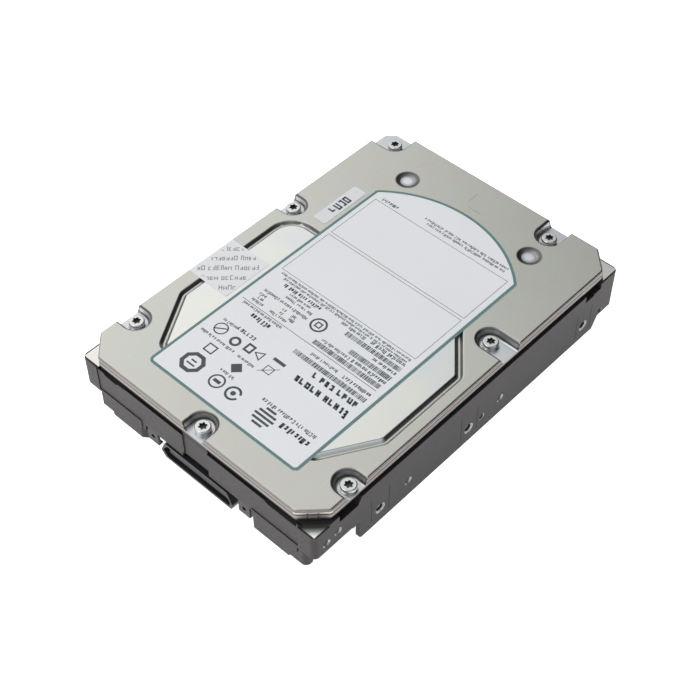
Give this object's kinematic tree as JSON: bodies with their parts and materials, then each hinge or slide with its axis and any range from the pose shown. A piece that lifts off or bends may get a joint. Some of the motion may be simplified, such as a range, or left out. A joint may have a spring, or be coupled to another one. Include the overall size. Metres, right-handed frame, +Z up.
{
  "type": "hard disk drive",
  "caption": "3.5-inch enterprise hard disk drive: black casting, screwed sheet-metal cover with labels, blind-mate connector, turning discs and swinging head arms.",
  "frame": {"origin": "on the plane of the mounting rails' undersides, at the centre of the 101.6 mm by 147 mm outline", "axes": "+X across the drive, +Y along it away from the host connector, +Z up through the cover"},
  "size_m": [0.1016, 0.147, 0.0261],
  "materials": {
    "black_casting": "black electrocoated die casting, machined ears bare",
    "cover_metal": "brushed, zinc plated sheet",
    "screw_steel": "zinc plated",
    "stainless": "bright stainless",
    "gasket_rubber": "matt black elastomer",
    "label_face": "satin printed film with a teal border",
    "tamper_film": "semi matt film with printed lines",
    "sticker_paper": "white paper",
    "bare_aluminium": "machined",
    "bearing_steel": "ground steel",
    "lamination": "laminated silicon steel",
    "copper_wire": "enamelled copper",
    "magnet_nickel": "nickel plated",
    "disc_mirror": "mirror polished magnetic disc",
    "yoke_nickel": "nickel plated soft iron",
    "black_plastic": "moulded",
    "grey_plastic": "moulded",
    "filter_felt": "white electret felt",
    "flex_film": "polyimide film",
    "board_green": "solder masked glass epoxy",
    "foam_grey": "thin foam sheet",
    "chip_black": "moulded epoxy",
    "solder_tin": "tinned",
    "ceramic_tan": "ceramic parts",
    "gold_contact": "gold plated",
    "rubber_bumper": "soft bumper"
  },
  "bodies": {
    "chassis": {"base_casting": "black_casting", "top_cover": "cover_metal", "cover_gasket": "gasket_rubber", "cover_screws": "screw_steel", "product_label": "label_face", "tamper_label": "tamper_film", "small_sticker": "sticker_paper", "motor_bracket": "bare_aluminium", "motor_screws": "screw_steel", "bearing_sleeve": "bearing_steel", "bearing_end_cap": "bearing_steel", "stator_core": "lamination", "stator_coils": "copper_wire", "pivot_shaft": "bearing_steel", "pivot_screw": "screw_steel", "lower_yoke": "yoke_nickel", "upper_yoke": "yoke_nickel", "coil_magnets": "magnet_nickel", "yoke_posts": "stainless", "yoke_screws": "screw_steel", "crash_stop_pins": "stainless", "crash_stop_bumpers": "rubber_bumper", "airflow_comb": "grey_plastic", "recirculation_filter": "filter_felt", "breather_filter": "black_plastic", "flex_bracket": "black_plastic", "flex_cable": "flex_film", "bulkhead_connector": "black_plastic", "circuit_board": "board_green", "board_insulator": "foam_grey", "board_screws": "screw_steel", "controller_chip": "chip_black", "memory_chips": "chip_black", "motor_driver": "chip_black", "chip_leads": "solder_tin", "capacitors": "ceramic_tan", "power_parts": "chip_black", "connector_shell": "black_plastic", "connector_tongue": "black_plastic", "connector_contacts": "gold_contact", "connector_ears": "black_plastic"},
    "spindle": {"spindle_hub": "bare_aluminium", "spindle_shaft": "bearing_steel", "rotor_magnet": "magnet_nickel", "lower_platter": "disc_mirror", "middle_platter": "disc_mirror", "upper_platter": "disc_mirror", "platter_spacers": "bare_aluminium", "disk_clamp": "bare_aluminium", "clamp_screws": "screw_steel"},
    "actuator": {"arm_comb": "bare_aluminium", "pivot_sleeve": "bearing_steel", "suspensions": "stainless", "head_sliders": "chip_black", "voice_coil": "copper_wire", "coil_frame": "black_plastic", "preamp_board": "flex_film", "preamp_chip": "chip_black"},
    "ball_cage": {"pivot_balls": "bearing_steel", "ball_cages": "grey_plastic"}
  },
  "joints": [
    {"name": "spindle_spin", "type": "hinge", "parent": "chassis", "child": "spindle", "pos_m": [0, 0.018, 0.0157], "axis": [0, 0, 1], "continuous": true},
    {"name": "actuator_swing", "type": "hinge", "parent": "chassis", "child": "actuator", "pos_m": [0.02, -0.028, 0.0157], "axis": [0, 0, -1], "range_deg": [0, 22.6]},
    {"name": "ball_cage_roll", "type": "hinge", "parent": "chassis", "child": "ball_cage", "pos_m": [0.02, -0.028, 0.0157], "axis": [0, 0, -1], "range_deg": [0, 13.7]}
  ],
  "couplings": [
    {"joint": "ball_cage_roll", "follows": "actuator_swing", "ratio": 0.6053}
  ]
}
